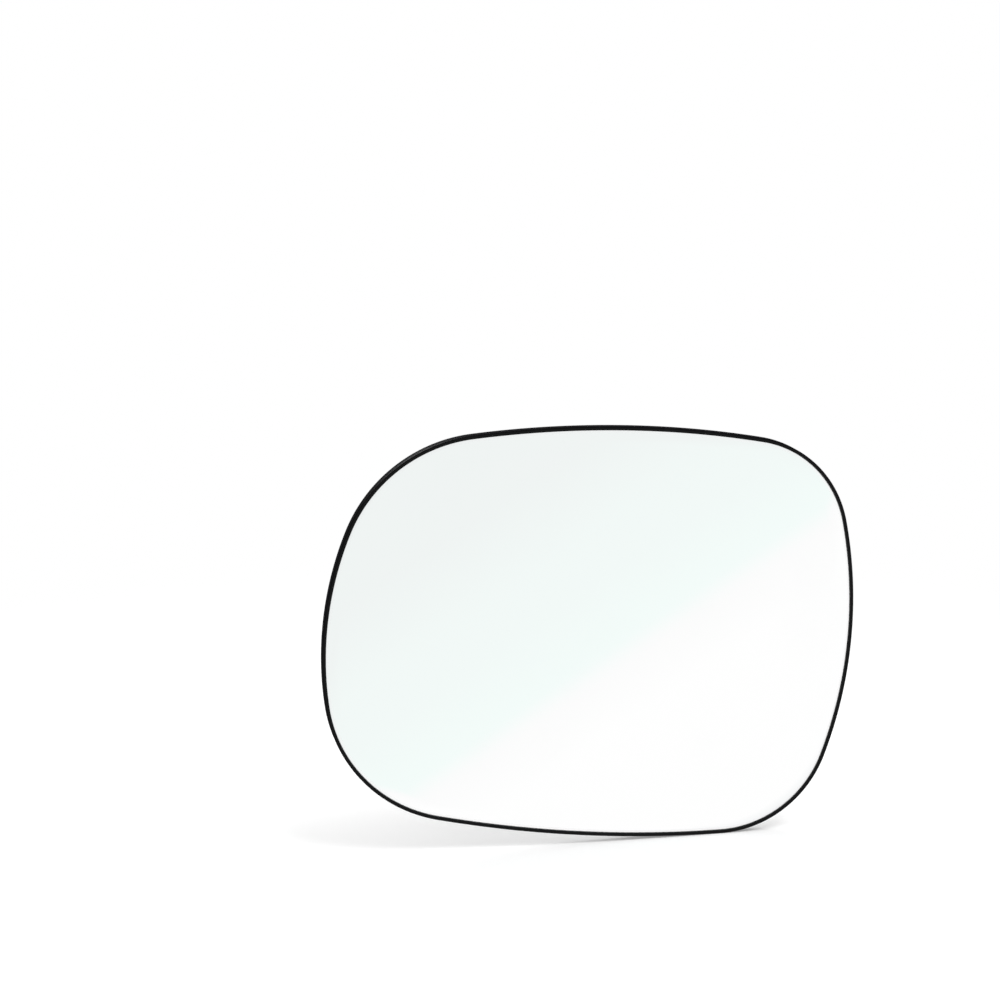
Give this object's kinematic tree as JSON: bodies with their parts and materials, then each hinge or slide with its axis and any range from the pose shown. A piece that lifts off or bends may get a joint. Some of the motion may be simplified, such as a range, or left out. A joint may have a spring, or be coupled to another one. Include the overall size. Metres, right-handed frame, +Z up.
{
  "type": "car door mirror glass",
  "caption": "Convex door mirror glass in a thin black edging, with a white adhesive sheet and a black clip-on holder plate on its back.",
  "frame": {"origin": "centre of the mouth of the holder plate's central hole", "axes": "+Z up as the mirror hangs on the door, +Y out of the back along the hole, -Y towards the viewer of the mirror, +X to that viewer's right"},
  "size_m": [0.1726, 0.0085, 0.1356],
  "materials": {
    "mirror": "polished, silvered behind",
    "edging": "smooth black",
    "adhesive": "white foam film, matt",
    "holder": "black, fine moulded grain"
  },
  "bodies": {
    "root": {"mirror_glass": "mirror", "edge_rim": "edging", "adhesive_sheet": "adhesive", "holder_plate": "holder"}
  },
  "joints": []
}
